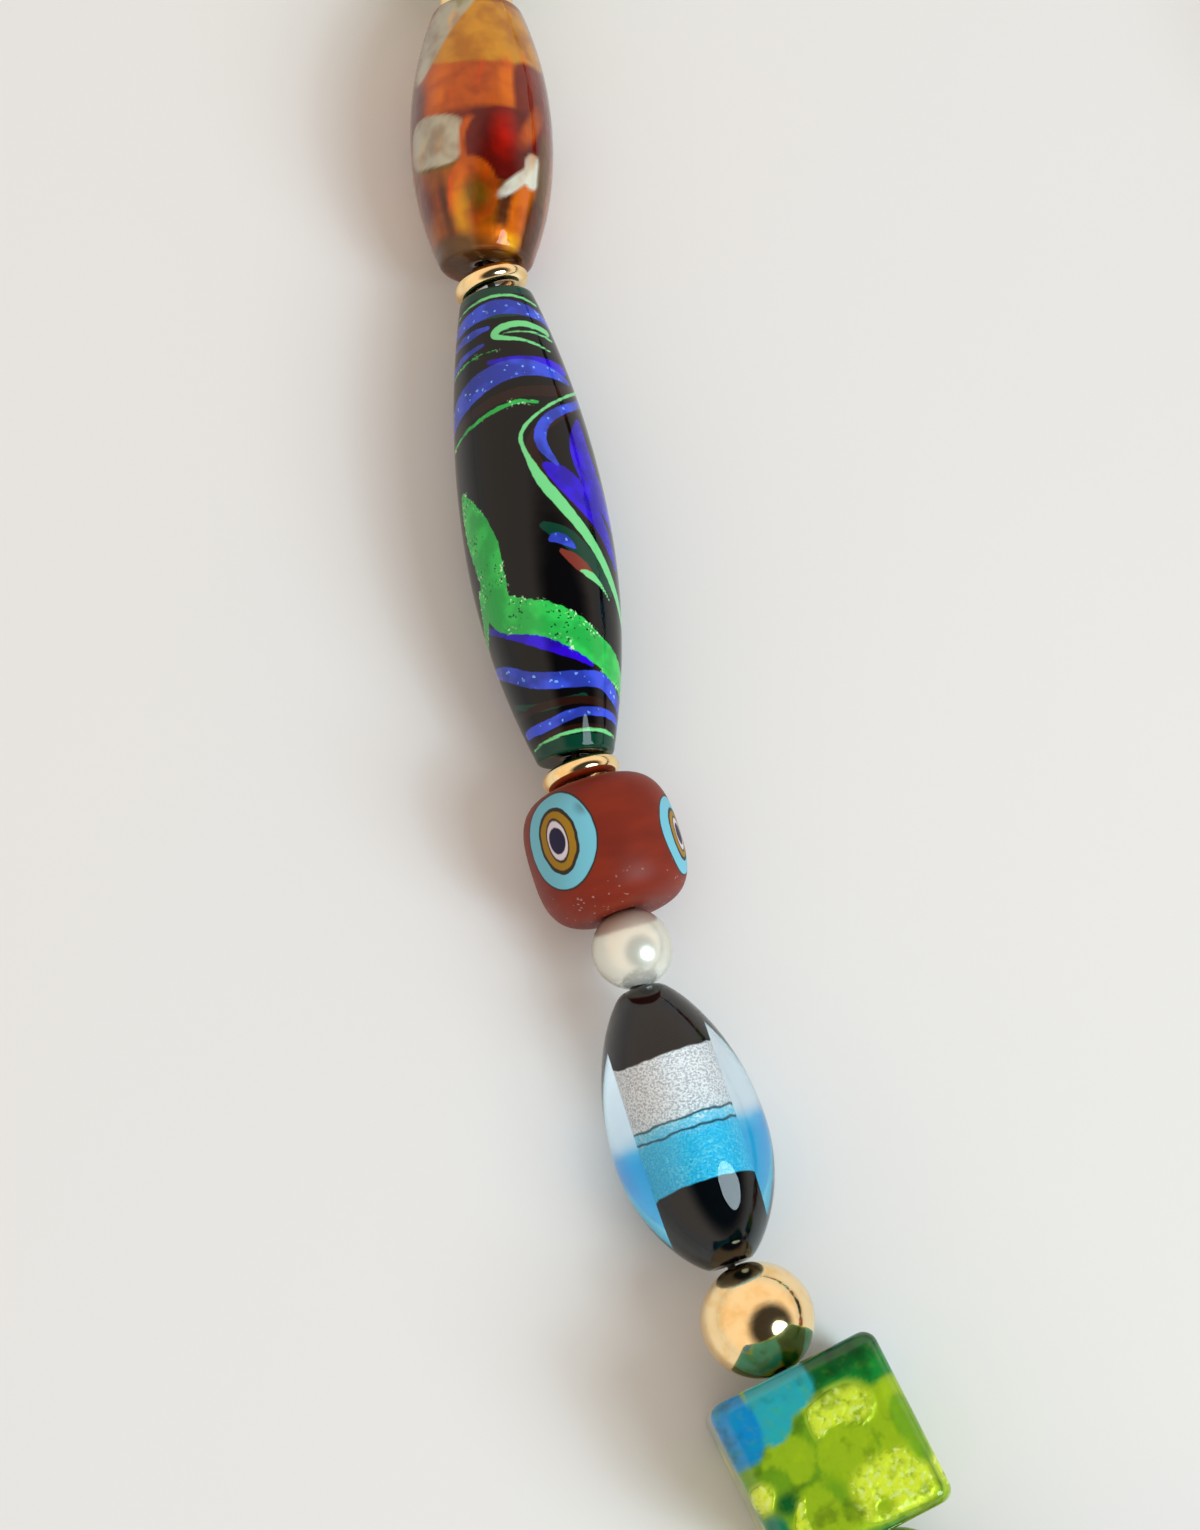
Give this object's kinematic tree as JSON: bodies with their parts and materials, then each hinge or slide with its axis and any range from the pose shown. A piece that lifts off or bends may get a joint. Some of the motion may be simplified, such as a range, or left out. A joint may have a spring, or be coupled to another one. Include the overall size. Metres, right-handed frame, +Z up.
{
  "type": "beaded necklace",
  "caption": "Beaded necklace lying as a closed loop: large patterned glass beads with pearls, gilt balls and gilt rings strung between them on a thread.",
  "frame": {"origin": "middle of the loop's outline, on the surface that the necklace lies on", "axes": "+Y along the loop's length, from the turn of the free end towards the clasp; +Z up from the surface"},
  "size_m": [0.1102, 0.2074, 0.0127],
  "materials": {
    "amber_foil_glass": "clear amber glass over metal foil, polished",
    "black_swirl_glass": "opaque black glass with trailed colours, polished",
    "brick_red_glass": "opaque glass, matt",
    "clear_blue_glass": "clear and turquoise glass, polished",
    "green_foil_glass": "clear glass over metal foil, polished",
    "pearl": "pearl lustre",
    "gilt": "gilt, mirror polished",
    "thread": "twisted thread"
  },
  "bodies": {
    "root": {"foil_barrel_1": "amber_foil_glass", "spacer_ring_1": "gilt", "swirl_spindle_1": "black_swirl_glass", "spacer_ring_2": "gilt", "eye_bead_1": "brick_red_glass", "pearl_1": "pearl", "core_oval_1": "clear_blue_glass", "gilt_ball_1": "gilt", "foil_cube_1": "green_foil_glass", "gilt_ball_2": "gilt", "eye_bead_2": "brick_red_glass", "pearl_2": "pearl", "core_oval_2": "clear_blue_glass", "gilt_ball_3": "gilt", "foil_cube_2": "green_foil_glass", "gilt_ball_4": "gilt", "foil_barrel_2": "amber_foil_glass", "spacer_ring_3": "gilt", "swirl_spindle_2": "black_swirl_glass", "spacer_ring_4": "gilt", "eye_bead_3": "brick_red_glass", "pearl_3": "pearl", "core_oval_3": "clear_blue_glass", "gilt_ball_5": "gilt", "foil_cube_3": "green_foil_glass", "gilt_ball_6": "gilt", "foil_barrel_3": "amber_foil_glass", "spacer_ring_5": "gilt", "eye_bead_4": "brick_red_glass", "pearl_4": "pearl", "core_oval_4": "clear_blue_glass", "gilt_ball_7": "gilt", "clasp": "gilt", "gilt_ball_8": "gilt", "core_oval_5": "clear_blue_glass", "pearl_5": "pearl", "eye_bead_5": "brick_red_glass", "gilt_ball_9": "gilt", "foil_cube_4": "green_foil_glass", "gilt_ball_10": "gilt", "spacer_ring_6": "gilt", "thread": "thread"}
  },
  "joints": []
}
